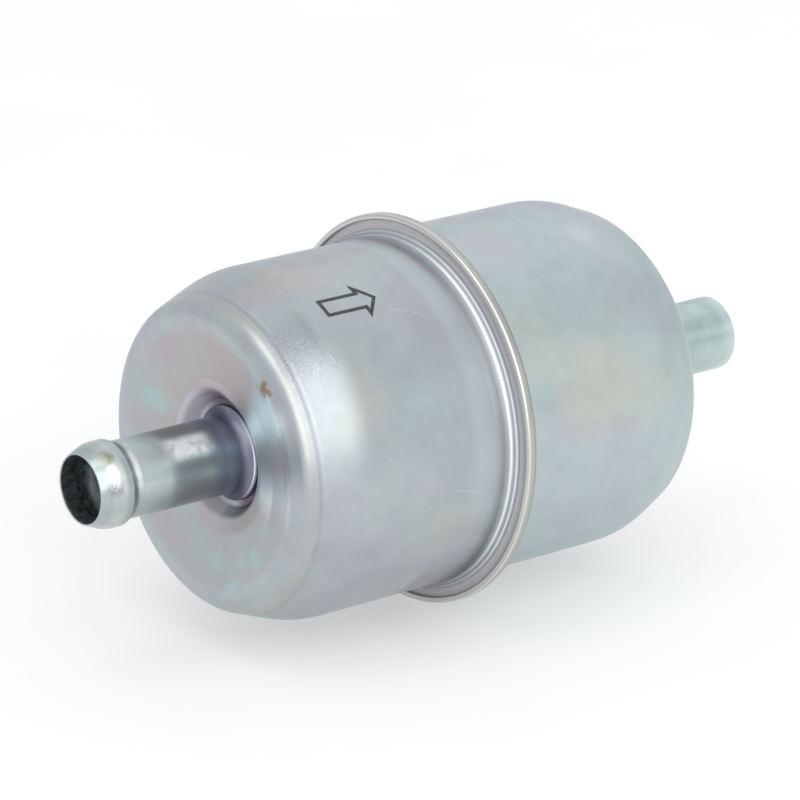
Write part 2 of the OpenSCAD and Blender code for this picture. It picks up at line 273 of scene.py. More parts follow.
def inlet_outline():
    u = FLANGE_X - INLET_FACE_X
    rim = [(FLANGE_EDGE_R, u), (FLANGE_EDGE_R, u + SHEET_T)]
    return [(r, INLET_FACE_X + t) for r, t in cup_outline(INLET_CUP, u, INLET_FLARE, rim)]


def outlet_outline():
    """The outlet cup, whose rim is hemmed round the inlet cup's flange."""
    u = OUTLET_FACE_X - OUTLET_FLANGE_X - SHEET_T
    front = OUTLET_FACE_X - HEM_FRONT_X
    bend_r = SEAM_R - HEM_BEND
    lip = SHEET_T / 2
    rim = (
        bend(bend_r, u + HEM_BEND, HEM_BEND, 0, 90)
        + bend(bend_r, front - HEM_BEND, HEM_BEND, 90, 180)
        + bend(LIP_R + lip, front - lip, lip, 180, 360)
        + [(SEAM_R - SHEET_T, front - SHEET_T), (SEAM_R - SHEET_T, u + SHEET_T)]
    )
    return [(r, OUTLET_FACE_X - t) for r, t in cup_outline(OUTLET_CUP, u, OUTLET_FLARE, rim)]


def tube_root(floor_t):
    """The flared foot on the cup's floor and the lip swaged over inside it, measured from the mouth."""
    lip_t = floor_t - FOOT_LIP_DROP
    end_a = 90 - FLARE_SWEEP
    flare_t = lip_t - FOOT_LIP_R * cos_d(end_a) - FLARE_BEND * cos_d(end_a)
    inner_t = floor_t + SHEET_T
    swage_end_t = inner_t + SWAGE_T
    return (
        bend(TUBE_R + FLARE_BEND, flare_t, -FLARE_BEND, 90, end_a)
        + bend(FOOT_R - FOOT_LIP_R, lip_t, FOOT_LIP_R, end_a, 90)
        + [(FOOT_R, floor_t), (TUBE_R, floor_t), (TUBE_R, inner_t), (SWAGE_R, inner_t)]
        + bend(SWAGE_R - SWAGE_T / 2, swage_end_t - SWAGE_T / 2, SWAGE_T / 2, 90, 180)
        + [(SWAGE_MOUTH_R, swage_end_t), (BORE_R, swage_end_t - SWAGE_FLARE_L)]
    )


def inlet_tube_outline():
    k = 90 - NOSE_SLOPE
    b = 90 + BEAD_BACK_SLOPE
    tip_r = MOUTH_R + MOUTH_TIP_R * sin_d(k)
    tip_t = MOUTH_TIP_R * (1 - cos_d(k))
    nose_r = BEAD_R - NOSE_BEND * (1 - sin_d(k))
    land_t = tip_t + (nose_r - tip_r) / tan_d(NOSE_SLOPE) + NOSE_BEND * cos_d(k)
    back_t = land_t + BEAD_LAND
    back_r = BEAD_R - BEAD_BACK_BEND * (1 - sin_d(b))
    root_r = TUBE_R + BEAD_ROOT_BEND * (1 - sin_d(b))
    bends_t = -(BEAD_BACK_BEND + BEAD_ROOT_BEND) * cos_d(b)
    root_t = back_t + bends_t + (back_r - root_r) / tan_d(BEAD_BACK_SLOPE)
    groove_r = BEAD_R - TUBE_WALL
    points = (
        bend(MOUTH_R, MOUTH_TIP_R, MOUTH_TIP_R, -90, k)
        + bend(BEAD_R - NOSE_BEND, land_t, NOSE_BEND, k, 90)
        + bend(BEAD_R - BEAD_BACK_BEND, back_t, BEAD_BACK_BEND, 90, b)
        + bend(TUBE_R + BEAD_ROOT_BEND, root_t, -BEAD_ROOT_BEND, b, 90)
        + tube_root(INLET_FLOOR_X - INLET_MOUTH_X)
        + [(BORE_R, root_t), (groove_r, back_t), (groove_r, land_t)]
    )
    return [(r, INLET_MOUTH_X + t) for r, t in points]


def outlet_tube_outline():
    tip = TUBE_WALL / 3
    points = (
        bend(BORE_R + tip, tip, tip, -90, 0)
        + bend(TUBE_R - tip, tip, tip, 0, 90)
        + tube_root(OUTLET_MOUTH_X - OUTLET_FLOOR_X)
    )
    return [(r, OUTLET_MOUTH_X - t) for r, t in points]


def rounded(points, radius):
    """The closed outline with each corner rounded, except on the axis."""
    out = []
    count = len(points)
    for i, point in enumerate(points):
        here = Vector(point)
        before = Vector(points[i - 1]) - here
        after = Vector(points[(i + 1) % count]) - here
        turn = before.angle(after)
        if point[0] == 0 or turn > math.radians(170):
            out.append(tuple(point))
            continue
        cut = min(radius / math.tan(turn / 2), before.length * 0.45, after.length * 0.45)
        start = here + before.normalized() * cut
        end = here + after.normalized() * cut
        for t in (0, 0.2, 0.4, 0.6, 0.8, 1):
            spot = start * (1 - t) ** 2 + here * 2 * t * (1 - t) + end * t ** 2
            out.append(tuple(spot))
    return out


def stepped(points, step):
    """The closed outline with points added along its long straight stretches."""
    out = []
    for i, a in enumerate(points):
        b = points[(i + 1) % len(points)]
        length = math.dist(a, b)
        if length < TINY:
            continue
        parts = max(1, math.ceil(length / step))
        for k in range(parts):
            t = k / parts
            out.append((a[0] + (b[0] - a[0]) * t, a[1] + (b[1] - a[1]) * t))
    return out


# -------- meshes
def placed(name, data):
    """A new object in the scene."""
    piece = bpy.data.objects.new(name, data)
    bpy.context.scene.collection.objects.link(piece)
    return piece


def shade(mesh, sharp=35):
    """Smooth shading, except at edges that turn by more than this many degrees."""
    mesh.shade_smooth()
    mesh.set_sharp_from_angle(angle=math.radians(sharp))


def made(name, verts, faces, sharp=35):
    """A new object from points in millimetres, with outward normals."""
    mesh = bpy.data.meshes.new(name)
    mesh.from_pydata([(x * MM, y * MM, z * MM) for x, y, z in verts], [], faces)
    work = bmesh.new()
    work.from_mesh(mesh)
    bmesh.ops.recalc_face_normals(work, faces=work.faces)
    work.to_mesh(mesh)
    work.free()
    shade(mesh, sharp)
    return placed(name, mesh)


def belt(a, b, count):
    """Faces between two rings of count points, whose numbers start at a and at b."""
    faces = []
    for i in range(count):
        j = (i + 1) % count
        faces.append((a + i, a + j, b + j, b + i))
    return faces


def bar(rings, count, first=0):
    """Faces of a bar with closed ends, made of rings of count points that are numbered from first."""
    last = first + (rings - 1) * count
    faces = []
    for start in range(first, last, count):
        faces += belt(start, start + count, count)
    faces.append(tuple(range(first, first + count)))
    faces.append(tuple(range(last, last + count)))
    return faces


def on_axis(r, x, angle):
    """A point at a radius and a place along the axis. The angle is from the top towards -Y."""
    return (x, -r * math.sin(angle), r * math.cos(angle))


def lathe(name, outline, around=AROUND, step=LONG_STEP, wobble=None):
    """Turns a closed outline about the axis. wobble(r, x, angle) gives a small change of radius."""
    verts = []
    rings = []
    for r, x in stepped(outline, step):
        count = 1 if r < TINY else around
        rings.append(range(len(verts), len(verts) + count))
        for i in range(count):
            angle = 2 * math.pi * i / around
            change = wobble(r, x, angle) if wobble else 0
            verts.append(on_axis(r + change, x, angle))
    faces = []
    for k, ring in enumerate(rings):
        other = rings[(k + 1) % len(rings)]
        if len(ring) == 1 and len(other) == 1:
            continue
        for i in range(around):
            j = (i + 1) % around
            near = [ring[i % len(ring)], ring[j % len(ring)]]
            far = [other[j % len(other)], other[i % len(other)]]
            faces.append(list(dict.fromkeys(near + far)))
    return made(name, verts, faces)


def swept(name, centres, radius, sides=16):
    """A wire of round section along a list of points, cut square at both ends."""
    path = [Vector(p) for p in centres]
    verts = []
    for i, p in enumerate(path):
        along = (path[min(i + 1, len(path) - 1)] - path[max(i - 1, 0)]).normalized()
        out = Vector((0, p.y, p.z)).normalized()
        out = (out - along * out.dot(along)).normalized()
        side = along.cross(out)
        for k in range(sides):
            a = 2 * math.pi * k / sides
            verts.append(tuple(p + (out * math.cos(a) + side * math.sin(a)) * radius))
    return made(name, verts, bar(len(path), sides), 50)


# -------- materials
# Colours are display values of 0 to 255, and angles are in degrees from the top towards -Y
def tone(r, g, b):
    """The linear colour of three display values."""
    values = []
    for v in (r, g, b):
        c = v / 255
        values.append(c / 12.92 if c <= 0.04045 else ((c + 0.055) / 1.055) ** 2.4)
    return (*values, 1)


def on_wall(x, angle, r):
    return Vector(on_axis(r, x, math.radians(angle)))


class Finish:
    """A procedural material. Each method adds nodes and returns the output to link on from."""

    def __init__(self, name, **constants):
        self.material = bpy.data.materials.new(name)
        self.material.use_nodes = True
        self.tree = self.material.node_tree
        self.shader = self.tree.nodes["Principled BSDF"]
        for socket, value in constants.items():
            self.shader.inputs[socket.replace("_", " ")].default_value = value
        spot = self.add("TexCoord", {}).outputs["Object"]
        self.place = self.add("VectorMath", {0: spot, "Scale": 1 / MM}, operation="SCALE").outputs[0]
        self.x, y, z = self.add("SeparateXYZ", {0: self.place}).outputs
        self.r = self.math("SQRT", self.sum(self.times(y, y), self.times(z, z)))
        self.turn = self.math("DEGREES", self.math("ARCTAN2", self.times(y, -1), z))

    def add(self, kind, inputs, **settings):
        """A new node. inputs holds the output or the constant for each input that it names."""
        node = self.tree.nodes.new("ShaderNode" + kind)
        for key, value in settings.items():
            setattr(node, key, value)
        for key, value in inputs.items():
            self.link(value, node.inputs[key])
        return node

    def link(self, value, socket):
        if isinstance(value, bpy.types.NodeSocket):
            self.tree.links.new(value, socket)
        else:
            socket.default_value = value

    def math(self, operation, *values):
        return self.add("Math", dict(enumerate(values)), operation=operation).outputs[0]

    def sum(self, *values):
        return reduce(lambda a, b: self.math("ADD", a, b), values)

    def times(self, *values):
        return reduce(lambda a, b: self.math("MULTIPLY", a, b), values)

    def minus(self, a, b):
        return self.math("SUBTRACT", a, b)

    def ease(self, value, start, end, low_value=0.0, high_value=1.0):
        """Goes smoothly from one value to another while the input goes from start to end."""
        inputs = {
            "Value": value, "From Min": start, "From Max": end, "To Min": low_value, "To Max": high_value,
        }
        return self.add("MapRange", inputs, interpolation_type="SMOOTHSTEP").outputs["Result"]

    def band(self, value, middle, half_width):
        """1 at the middle, and 0 beyond half_width to each side."""
        return self.ease(self.math("ABSOLUTE", self.minus(value, middle)), 0, half_width, 1, 0)

    def facing(self, angle, half_width):
        """1 on the side at this angle, and 0 beyond half_width to each side."""
        return self.band(self.turn, angle, half_width)

    def window(self, value, start, end, soft):
        """1 between start and end, and 0 beyond soft outside them."""
        return self.times(self.ease(value, start - soft, start), self.ease(value, end + soft, end))

    def noise(self, size, detail=3.0, rough=0.5, warp=0.0):
        """Noise with features of about this many millimetres."""
        inputs = {"Vector": self.place, "Scale": 1 / size}
        inputs.update(Detail=detail, Roughness=rough, Distortion=warp)
        return self.add("TexNoise", inputs).outputs["Fac"]

    def rings(self, size, turn_size):
        """Noise drawn out round the axis, as a lathe or a press leaves it."""
        drift = self.times(self.noise(turn_size, 2), 6.0)
        axis = {0: self.times(self.x, 1 / size), 1: self.times(self.r, 1 / size), 2: drift}
        inputs = {"Vector": self.add("CombineXYZ", axis).outputs[0], "Scale": 1, "Detail": 3}
        return self.add("TexNoise", inputs).outputs["Fac"]

    def vary(self, pattern, least, most):
        """Goes from least to most over the middle of a noise."""
        return self.ease(pattern, 0.3, 0.7, least, most)

    def ramp(self, pattern, *stops):
        """A colour for each value of a noise, from stops of (value, colour)."""
        node = self.add("ValToRGB", {0: pattern})
        elements = node.color_ramp.elements
        while len(elements) < len(stops):
            elements.new(0.5)
        for element, (at, colour) in zip(elements, stops):
            element.position = at
            element.color = tone(*colour)
        return node.outputs["Color"]

    def two_tones(self, pattern, dark, light, start=0.3):
        """From the dark colour to the light one over the middle of a noise."""
        return self.ramp(pattern, (start, dark), (1 - start, light))

    def paint(self, amount, tint, *masks):
        """Lays a colour over the colour so far, as much as the amount and all of the masks say."""
        tint = tone(*tint) if isinstance(tint, tuple) else tint
        inputs = {"Factor": self.times(amount, *masks), 6: self.colour, 7: tint}
        self.colour = self.add("Mix", inputs, data_type="RGBA").outputs[2]

    def paint_rings(self, zone, rings):
        """Paints thin rings, each given as (radius, half width, amount, colour)."""
        for radius, half_width, amount, tint in rings:
            self.paint(amount, tint, zone, self.band(self.r, radius, half_width))

    def blob(self, x, angle, r, radius, ragged, edge):
        """1 round a point of the surface, with a ragged edge."""
        away = self.add("VectorMath", {0: self.place, 1: on_wall(x, angle, r)}, operation="DISTANCE")
        wild = self.times(self.minus(self.noise(radius * 0.6, 3), 0.5), 2 * ragged * radius)
        return self.ease(self.sum(away.outputs["Value"], wild), radius * edge, radius, 1, 0)

    def along(self, way):
        """How far the surface lies along a direction."""
        node = self.add("VectorMath", {0: self.place, 1: way}, operation="DOT_PRODUCT")
        return node.outputs["Value"]

    def scratch(self, start, end, width):
        """1 along a straight scratch between two points of the surface, and 0 beside it."""
        a = on_wall(*start)
        b = on_wall(*end)
        middle = (a + b) / 2
        out = Vector((0, middle.y, middle.z)).normalized()
        length_way = (b - a).normalized()
        cross_way = out.cross(length_way).normalized()
        mask = self.ease(self.along(out), 0, 1)
        for way, reach, soft in ((length_way, (b - a).length / 2, 0.7), (cross_way, width / 2, 0.2)):
            off = self.math("ABSOLUTE", self.minus(self.along(way), middle.dot(way)))
            mask = self.times(mask, self.ease(off, reach * soft, reach, 1, 0))
        return mask

    def bump(self, height, depth, normal=None):
        """Bump whose height of 1 stands depth millimetres proud, on top of the bump so far."""
        inputs = {"Strength": 1, "Distance": depth * MM, "Height": height}
        if normal is not None:
            inputs["Normal"] = normal
        return self.add("Bump", inputs).outputs["Normal"]

    def done(self, roughness, normal=None, metallic=None):
        self.link(self.colour, self.shader.inputs["Base Color"])
        self.link(roughness, self.shader.inputs["Roughness"])
        if normal is not None:
            self.link(normal, self.shader.inputs["Normal"])
        if metallic is not None:
            self.link(metallic, self.shader.inputs["Metallic"])
        return self.material


class Zinc(Finish):
    """Bright zinc plating with a fine grain, and the marks of the press under it."""

    def __init__(self, name, **constants):
        super().__init__(name, **constants)
        self.grain = self.noise(0.28, 2, 0.6)
        self.coarse = self.noise(1.1, 3)
        normal = self.bump(self.grain, 0.0016)
        normal = self.bump(self.coarse, 0.0022, normal)
        self.normal = self.bump(self.rings(0.35, 14), 0.0012, normal)


def cup_zinc(name, tints, patches):
    """Zinc on a drawn cup, with large soft tints and a bloom of lighter and darker clouds."""
    f = Zinc(name, Metallic=1.0)
    f.colour = f.ramp(f.noise(15, 3, 0.55, warp=0.6), *zip((0.32, 0.45, 0.56, 0.68), tints))
    for x, angle, r, radius, tint, amount in patches:
        f.paint(amount, tint, f.blob(x, angle, r, radius, 0.5, 0.25))
    bloom = f.noise(3.4, 4, 0.6, warp=0.3)
    f.paint(0.2, (200, 206, 206), f.ease(bloom, 0.46, 0.74))
    f.paint(0.18, (158, 164, 170), f.ease(bloom, 0.54, 0.26))
    return f


def paint_inlet_face(f, end):
    """The end face is pinker, with greenish clouds, and the press left it streaked beside the tube, where
    painted highlights light it.
    """
    face = f.times(f.ease(f.r, 17.6, 15.8), end)
    clouds = f.two_tones(f.noise(6, 3, warp=0.4), (186, 178, 182), (180, 188, 187), 0.4)
    f.paint(0.75, clouds, face)
    f.paint(0.6, (192, 177, 175), face, f.facing(5, 45))
    for x, angle, r, radius in (
        (-32.3, -70, 12.8, 2.6), (-32.5, 175, 13.7, 1.8), (-32.7, 138, 14.6, 2.2), (-32.6, 152, 14.0, 1.2),
        (-33.1, 160, 16.5, 1.6), (-32.3, 120, 12.6, 1.4),
    ):
        f.paint(0.75, (174, 199, 199), f.blob(x, angle, r, radius, 0.8, 0.3))
    # Painted highlights beside the tube, on its lit side, where the press also left fine streaks
    beside = f.times(f.window(f.r, 8.8, 17.4, 1.0), end)
    f.paint(0.95, (226, 246, 252), beside, f.facing(53, 19))
    f.paint(0.7, (204, 214, 221), beside, f.facing(93, 17))
    f.paint(0.8, (230, 240, 244), f.window(f.r, 9.4, 12.6, 0.8), end, f.facing(100, 20))
    fine = f.ease(f.rings(0.16, 30), 0.5, 0.68)
    f.paint(0.28, (112, 134, 142), beside, f.window(f.turn, 48, 100, 12), fine)
    # A painted highlight at the face's rim, and a darker patch beside it
    f.paint(0.6, (236, 248, 252), f.blob(-33.3, 60, 17.4, 2.6, 0.12, 0.0))
    f.paint(0.6, (146, 152, 154), f.blob(-33.2, 44, 17.3, 2.4, 0.12, 0.0))
    return face


def paint_crown(f, end):
    # Painted shade darkens its inner side beside the tube
    f.paint(0.85, (140, 148, 154), f.window(f.r, 17.9, 19.6, 0.4), end, f.facing(76, 15))

    # Painted highlight and shade round the crown, where it is burnished: a bright line, a dark one and a
    # faint bright one, with two bands to tone them down
    crown = f.times(f.ease(f.x, -30.0, -30.4), f.sum(f.times(f.noise(5, 2), 0.6), 0.6))
    f.paint_rings(f.times(crown, f.facing(48, 60)), (
        (20.24, 0.24, 0.25, (246, 246, 234)),
        (20.70, 0.1, 0.55, (128, 124, 136)),
        (20.95, 0.16, 0.5, (226, 234, 236)),
    ))
    f.paint_rings(crown, ((20.25, 0.45, 0.55, (184, 182, 172)), (20.75, 0.2, 0.25, (160, 140, 146))))

    # Orange-peel grain on the upper shoulder
    f.paint(0.8, (150, 156, 161), f.window(f.r, 20.9, 22.4, 0.5), f.ease(f.x, -25, -26.5), f.facing(33, 15))
    dots = f.noise(0.22, 2, 0.7)
    speckled = f.times(f.window(f.r, 20.6, 22.6, 0.4), f.ease(f.x, -24, -26), f.facing(40, 22))
    f.paint(0.42, (96, 102, 106), speckled, f.ease(dots, 0.55, 0.68))
    f.paint(0.35, (226, 232, 234), speckled, f.ease(dots, 0.42, 0.32))


def paint_dimple(f):
    """Heat tint, violet at the foot and brown at the rim, deepened with painted shade, with a painted
    highlight on the lit side. Returns how metallic the whole cup is.
    """
    around = f.ease(f.math("ABSOLUTE", f.minus(f.turn, 62)), 112, 84)
    dimple = f.ease(f.x, -27, -28)
    rim = f.times(f.window(f.r, 7.8, 9.6, 1.0), dimple)
    f.paint(0.35, (140, 118, 120), rim, f.facing(142, 48))
    f.paint(0.15, (150, 124, 136), rim, f.facing(0, 50))
    # The violet at the foot is heat tint deepened with painted shade
    heat_tint_and_shade = f.two_tones(f.noise(3, 2), (86, 68, 98), (108, 88, 110), 0.35)
    f.paint(0.85, heat_tint_and_shade, f.ease(f.r, 8.5, 6.6), around, dimple)
    # A painted highlight on the lit side of the recess, and painted shade low in it
    f.paint(0.8, (222, 230, 238), f.window(f.r, 7.3, 8.8, 0.4), dimple, f.facing(60, 18))
    f.paint(0.7, (112, 96, 106), f.window(f.r, 6.5, 7.0, 0.3), dimple, f.facing(150, 26))

    # On the far side the dimple is dull, so it reads as a soft shade and not as rings. Its colours there are
    # painted shade, dark violet towards the top and the foot, with painted light on one side and round the
    # rim
    dull = f.times(f.window(f.r, 5.5, 8.6, 0.7), dimple, f.ease(f.turn, 26, 4))
    f.paint(0.95, (202, 198, 207), dull, f.ease(f.turn, -140, -110))
    f.paint(0.9, (100, 84, 106), dull, f.facing(0, 46))
    f.paint(0.85, (84, 76, 100), f.ease(f.r, 7.6, 6.9), dull, f.facing(-16, 44))
    f.paint(0.5, (218, 204, 208), f.window(f.r, 8.8, 9.7, 0.5), dimple, f.facing(2, 44))

    # A hazy sheen beside the tube, where the plating is whitest
    sheen = f.times(f.window(f.r, 8.6, 11.5, 1.6), dimple, f.facing(54, 15))
    return f.minus(1.0, f.sum(f.times(dull, 0.85), f.times(sheen, 0.55)))


def paint_seam_side(f):
    # Painted light makes the wall just before the seam a little brighter, and painted shade makes it
    # pink-brown low down and at the foot of the flare on top
    f.paint(0.42, (196, 206, 211), f.window(f.x, -7.0, -3.4, 1.8), f.ease(f.turn, 118, 104))
    f.paint(0.5, (208, 214, 220), f.window(f.x, -4.2, -3.3, 0.6), f.ease(f.turn, 84, 70))
    f.paint(0.5, (168, 140, 152), f.window(f.x, -4.4, -3.9, 0.5), f.facing(10, 50))
    f.paint(0.55, (138, 128, 134), f.window(f.x, -11, -3.4, 2.5), f.ease(f.turn, 120, 140))

    # Painted highlights and painted shade draw bright and dark lines round the flare, and the flange is dull
    rim = f.ease(f.x, -3.2, -2.9)
    f.paint_rings(f.times(rim, f.sum(f.times(f.window(f.turn, 30, 115, 35), 0.6), 0.4)), (
        (23.11, 0.13, 0.95, (255, 255, 255)),
        (23.33, 0.1, 0.55, (140, 146, 152)),
        (23.53, 0.11, 0.95, (240, 250, 255)),
        (23.83, 0.13, 0.9, (112, 118, 126)),
    ))
    f.paint(0.85, (197, 194, 197), f.ease(f.r, 23.75, 23.95), rim)


def paint_rust(f):
    """Rust flecks on the crown, as two small strokes."""
    for x, angle, r, radius in (
        (-33.38, 43.6, 18.4, 0.55), (-33.37, 43.9, 18.0, 0.6), (-33.36, 44.1, 17.6, 0.6),
        (-33.25, 44.5, 17.1, 0.5), (-33.38, 45.6, 17.8, 0.55), (-33.38, 46.9, 18.1, 0.6),
        (-33.3, 48.2, 18.4, 0.55), (-33.25, 46.8, 17.3, 0.5),
    ):
        f.paint(0.65, (150, 114, 84), f.blob(x, angle, r, radius, 0.55, 0.4))


def paint_scratches(f):
    """Fine light scratches, each from one (x, angle, radius) to another, with its width."""
    marks = [
        f.scratch(start, stop, width) for start, stop, width in (
            ((-25.65, 43.0, 22.52), (-25.28, 47.6, 22.60), 0.14),
            ((-13.7, 33.2, 22.9), (-11.2, 35.6, 22.9), 0.1),
            ((-11.2, 35.6, 22.9), (-8.9, 39.8, 22.9), 0.1),
            ((-23.4, 76, 22.9), (-20.4, 83, 22.9), 0.07),
            ((-12, 96, 22.9), (-6, 100, 22.9), 0.08),
        )
    ]
    scratches = reduce(lambda a, b: f.math("MAXIMUM", a, b), marks)
    f.paint(0.6, (232, 235, 237), scratches)
    return scratches


def inlet_cup_material():
    tints = ((178, 178, 187), (178, 184, 189), (178, 187, 189), (183, 188, 186))
    patches = (
        (-9, 92, 22.9, 9, (174, 180, 188), 0.6),
        (-16, 70, 22.9, 8, (174, 188, 190), 0.6),
        (-12, 112, 22.9, 8, (182, 186, 176), 0.35),
        (-22, 8, 22.9, 6, (194, 180, 180), 0.6),
        (-27, 9, 22.3, 5, (196, 184, 186), 0.5),
        (-18, 22, 22.9, 3, (176, 192, 184), 0.5),
    )
    f = cup_zinc("inlet_zinc", tints, patches)
    end = f.ease(f.x, -28, -30)
    face = paint_inlet_face(f, end)
    paint_crown(f, end)
    metallic = paint_dimple(f)
    paint_seam_side(f)
    paint_rust(f)
    scratches = paint_scratches(f)
    rough = f.sum(
        0.34, f.times(f.coarse, 0.1), f.times(f.minus(f.grain, 0.5), 0.1), f.times(scratches, -0.1),
        f.times(face, 0.1), f.times(f.band(f.r, 20.24, 0.5), end, -0.05),
        f.times(f.ease(f.x, -3.5, -3.0), 0.12),
    )
    return f.done(rough, f.normal, metallic)


def outlet_cup_material():
    tints = ((186, 190, 200), (185, 196, 199), (184, 198, 198), (190, 200, 195))
    patches = (
        (12, 74, 23.2, 9, (200, 200, 184), 0.6),
        (6, 62, 23.2, 5, (196, 200, 186), 0.4),
        (20, 80, 23.2, 6, (198, 200, 186), 0.4),
        (7, 15, 23.2, 6, (190, 186, 200), 0.55),
        (14, 34, 23.2, 8, (178, 196, 198), 0.6),
        (21, 22, 23.1, 3, (206, 214, 214), 0.5),
        (23, 48, 22, 8, (180, 186, 198), 0.6),
    )
    f = cup_zinc("outlet_zinc", tints, patches)

    # The end face has pink and greenish clouds, and the dimple a heat tint
    clouds = f.two_tones(f.noise(6, 3, warp=0.4), (190, 182, 188), (186, 196, 196), 0.4)
    f.paint(0.65, clouds, f.ease(f.r, 17.6, 15.8), f.ease(f.x, 28, 30))
    f.paint(0.7, (112, 98, 110), f.ease(f.r, 9.6, 6.6), f.ease(f.x, 25.5, 26.5))

    # The rolled hem is a little tan, with painted highlights along its front edge and a darker rear edge
    hem = f.ease(f.r, 24.75, 25.0)
    f.paint(0.8, (184, 181, 173), hem)
    front = f.ease(f.x, -1.2, -1.4)
    f.paint(0.7, (212, 212, 210), front, f.window(f.r, 25.1, 25.5, 0.1))
    f.paint_rings(front, ((25.71, 0.11, 0.6, (248, 248, 243)),))
    f.paint(0.7, (146, 148, 142), hem, f.ease(f.x, -1.0, -0.6))
    rough = f.sum(0.36, f.times(f.coarse, 0.1), f.times(f.minus(f.grain, 0.5), 0.1), f.times(hem, -0.1))
    return f.done(rough, f.normal)


def inlet_tube_material():
    """Bright zinc, rougher at the foot, with painted shade near the cup and painted highlights, among them a
    hazy light patch on the near side.
    """
    f = Zinc("inlet_tube_zinc")
    f.colour = f.two_tones(f.noise(4, 3, warp=0.5), (168, 178, 180), (188, 198, 194), 0.35)
    # Painted shade near the cup, purplish on top and below, and painted light on the near side further out
    near_cup = f.ease(f.x, -42.5, -40.0)
    f.paint(0.75, (146, 152, 154), near_cup)
    f.paint(0.7, (210, 220, 220), f.window(f.x, -45.5, -42.2, 1.2), f.facing(75, 45))
    f.paint(0.5, (140, 122, 130), near_cup, f.sum(f.facing(-10, 35), f.facing(122, 32)))
    # Painted shade and light on the flared foot, and a painted highlight along its lip
    f.paint(0.8, (138, 146, 162), f.ease(f.x, -36.0, -34.6))
    f.paint(0.9, (170, 178, 196), f.ease(f.x, -33.6, -32.4))
    f.paint(0.9, (118, 120, 136), f.ease(f.x, -31.7, -31.1))
    f.paint(0.8, (184, 184, 196), f.ease(f.x, -30.6, -30.1), f.facing(50, 28))
    f.paint(1.0, (250, 252, 255), f.band(f.r, 5.91, 0.12), f.ease(f.x, -32, -31), f.facing(85, 75))

    # The bead: a lighter land with a painted highlight, another painted highlight behind it with painted
    # shade beside it, an olive fleck, and a speckled dark middle painted into the reflection on the nose
    land = f.window(f.x, -50.4, -49.2, 0.8)
    f.paint(0.25, (224, 230, 228), land)
    f.paint(0.62, (250, 252, 248), land, f.facing(60, 36))
    f.paint(0.9, (250, 255, 255), f.facing(60, 45), f.window(f.x, -47.6, -46.4, 0.5))
    f.paint(0.7, (128, 134, 136), f.facing(5, 35), f.window(f.x, -47.6, -46.8, 0.3))
    f.paint(0.8, (150, 156, 128), f.blob(-50.3, 31, 5.3, 1.5, 0.5, 0.2))
    specks = f.ease(f.noise(0.2, 2, 0.7), 0.4, 0.62, 0.35, 1.0)
    f.paint(0.85, (122, 126, 132), f.blob(-50.5, 78, 5.25, 1.5, 0.4, 0.3), specks)

    # A painted highlight, laid on as dull white, so it shows light from all round
    clouds = f.ease(f.noise(1.4, 3), 0.25, 0.6, 0.5, 1.0)
    highlight_haze = f.times(f.window(f.turn, 34, 50, 18), f.window(f.x, -40.0, -36.4, 2.6), clouds)
    f.paint(0.9, (232, 235, 236), highlight_haze)
    metallic = f.minus(1.0, f.times(highlight_haze, 0.7))
    rough = f.sum(0.24, f.times(f.coarse, 0.12), f.times(f.window(f.x, -34.5, -31.0, 1.0), 0.14))
    return f.done(rough, f.normal, metallic)


def outlet_tube_material():
    f = Zinc("outlet_tube_zinc", Metallic=1.0)
    f.colour = f.two_tones(f.noise(4, 3, warp=0.5), (174, 189, 189), (186, 203, 199), 0.35)
    # Painted shade near the cup, and lighter towards the mouth
    f.paint(0.6, (120, 118, 136), f.ease(f.x, 35.5, 31.5))
    f.paint(0.4, (228, 238, 238), f.ease(f.x, 49.5, 52.0))
    return f.done(f.sum(0.26, f.times(f.coarse, 0.12)), f.normal)


def bore_material():
    f = Finish("bare_bore", Metallic=1.0)
    f.colour = f.two_tones(f.noise(1.5, 3), (150, 156, 156), (186, 192, 196))
    return f.done(f.vary(f.noise(0.8, 3), 0.34, 0.5), f.bump(f.noise(0.3, 3), 0.003))


def inner_steel_material():
    """The unseen inside of the cups."""
    f = Finish("inner_zinc", Metallic=1.0)
    f.colour = f.two_tones(f.noise(10, 3), (150, 155, 158), (166, 170, 170), 0.35)
    return f.done(f.vary(f.noise(2, 3), 0.35, 0.5), f.bump(f.rings(0.5, 10), 0.002))


def ink_material():
    f = Finish("print_ink")
    f.colour = f.ramp(f.noise(0.25, 3), (0.35, (38, 42, 42)), (0.7, (72, 77, 76)))
    return f.done(f.vary(f.noise(0.3, 2), 0.5, 0.75))


def braze_material():
    f = Finish("braze_filler", Metallic=1.0)
    f.colour = f.ramp(f.noise(0.9, 4), (0.3, (168, 112, 70)), (0.55, (206, 150, 98)), (0.75, (120, 84, 66)))
    return f.done(f.vary(f.noise(0.5, 3), 0.28, 0.5), f.bump(f.noise(0.5, 3), 0.02))


def sealant_material():
    f = Finish("seam_film")
    f.colour = f.two_tones(f.noise(0.6, 3), (66, 68, 72), (92, 94, 98))
    return f.done(f.vary(f.noise(0.4, 2), 0.55, 0.8), f.bump(f.noise(0.3, 3), 0.01))


def spring_material():
    f = Finish("drawn_wire", Metallic=1.0)
    f.colour = f.two_tones(f.noise(1.4, 4), (110, 112, 118), (150, 152, 156))
    return f.done(f.vary(f.noise(0.6, 3), 0.24, 0.42), f.bump(f.noise(0.12, 3), 0.003))


